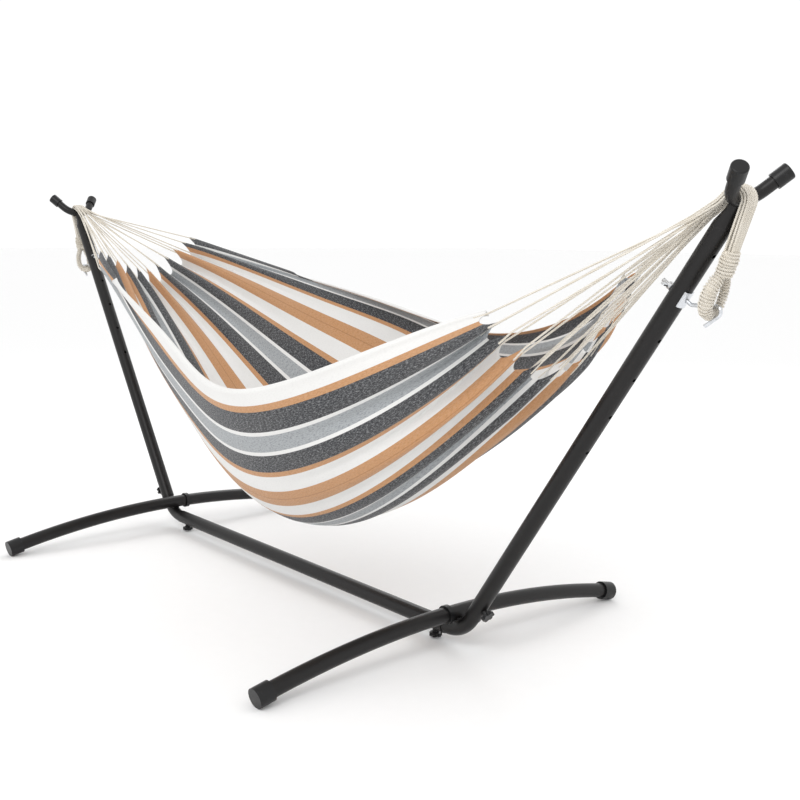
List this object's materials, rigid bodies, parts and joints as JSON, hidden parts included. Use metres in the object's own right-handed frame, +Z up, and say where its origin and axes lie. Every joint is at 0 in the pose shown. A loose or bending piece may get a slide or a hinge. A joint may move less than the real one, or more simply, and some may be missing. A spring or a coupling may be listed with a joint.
{
  "type": "hammock on stand",
  "caption": "Striped cloth hammock with a cord harness at each end, hung between the Y yokes of a knock-down steel tube stand with arched foot bars.",
  "frame": {"origin": "on the floor, under the middle of the beam", "axes": "+X along the hammock towards its steeper end, +Z up"},
  "size_m": [2.9564, 1.16, 1.1219],
  "materials": {
    "frame_steel": "satin black powder coat, fine orange peel",
    "black_plastic": "moulded, satin",
    "zinc": "bright zinc plate",
    "cotton_rope": "twisted natural cotton",
    "striped_cotton": "heavy plain-weave cotton, woven lengthwise stripes in tan, charcoal, grey and off-white"
  },
  "bodies": {
    "stand": {"base_beam": "frame_steel", "elbow_right": "frame_steel", "elbow_left": "frame_steel", "upright_right": "frame_steel", "upright_left": "frame_steel", "yoke_right": "frame_steel", "yoke_left": "frame_steel", "foot_tube_long_right": "frame_steel", "foot_tube_long_left": "frame_steel", "foot_tube_short_right": "frame_steel", "foot_tube_short_left": "frame_steel", "foot_joint_ring_right": "black_plastic", "foot_joint_ring_left": "black_plastic", "foot_weld_right": "frame_steel", "foot_weld_left": "frame_steel", "foot_cap_near_right": "black_plastic", "foot_cap_near_left": "black_plastic", "foot_cap_far_right": "black_plastic", "foot_cap_far_left": "black_plastic", "yoke_cap_near_right": "black_plastic", "yoke_cap_near_left": "black_plastic", "yoke_cap_far_right": "black_plastic", "yoke_cap_far_left": "black_plastic", "beam_weld_nut_right": "frame_steel", "beam_weld_nut_left": "frame_steel", "upright_weld_nut_right": "frame_steel", "upright_weld_nut_left": "frame_steel", "hook_right": "zinc", "hook_left": "zinc", "hook_saddle_right": "zinc", "hook_saddle_left": "zinc", "rope_bundle_right": "cotton_rope", "rope_bundle_left": "cotton_rope", "rope_whipping_right": "cotton_rope", "rope_whipping_left": "cotton_rope", "rope_eye_right": "cotton_rope", "rope_eye_left": "cotton_rope"},
    "hammock": {"hammock_bed": "striped_cotton", "harness_cords_right": "cotton_rope", "harness_cords_left": "cotton_rope"},
    "beam_clamp_right": {"beam_knob_right": "black_plastic", "beam_knob_screw_right": "zinc"},
    "upright_clamp_right": {"upright_knob_right": "black_plastic", "upright_knob_screw_right": "zinc"},
    "wing_right": {"wing_nut_right": "zinc"},
    "beam_clamp_left": {"beam_knob_left": "black_plastic", "beam_knob_screw_left": "zinc"},
    "upright_clamp_left": {"upright_knob_left": "black_plastic", "upright_knob_screw_left": "zinc"},
    "wing_left": {"wing_nut_left": "zinc"}
  },
  "joints": [
    {"name": "hammock_swing", "type": "hinge", "parent": "stand", "child": "hammock", "pos_m": [0, 0, 1.07022], "axis": [1, 0, 0], "range_deg": [-20, 20]},
    {"name": "beam_clamp_turn_right", "type": "hinge", "parent": "stand", "child": "beam_clamp_right", "pos_m": [0.62318, 0, 0.042], "axis": [0, 0, -1], "continuous": true},
    {"name": "upright_clamp_turn_right", "type": "hinge", "parent": "stand", "child": "upright_clamp_right", "pos_m": [0.77768, 0, 0.12346], "axis": [0.8251, 0, -0.565], "continuous": true},
    {"name": "wing_nut_turn_right", "type": "hinge", "parent": "stand", "child": "wing_right", "pos_m": [1.29729, 0, 0.88233], "axis": [0.8251, 0, -0.565], "continuous": true},
    {"name": "beam_clamp_turn_left", "type": "hinge", "parent": "stand", "child": "beam_clamp_left", "pos_m": [-0.62318, 0, 0.042], "axis": [0, 0, -1], "continuous": true},
    {"name": "upright_clamp_turn_left", "type": "hinge", "parent": "stand", "child": "upright_clamp_left", "pos_m": [-0.77768, 0, 0.12346], "axis": [-0.8251, 0, -0.565], "continuous": true},
    {"name": "wing_nut_turn_left", "type": "hinge", "parent": "stand", "child": "wing_left", "pos_m": [-1.29729, 0, 0.88233], "axis": [-0.8251, 0, -0.565], "continuous": true}
  ]
}
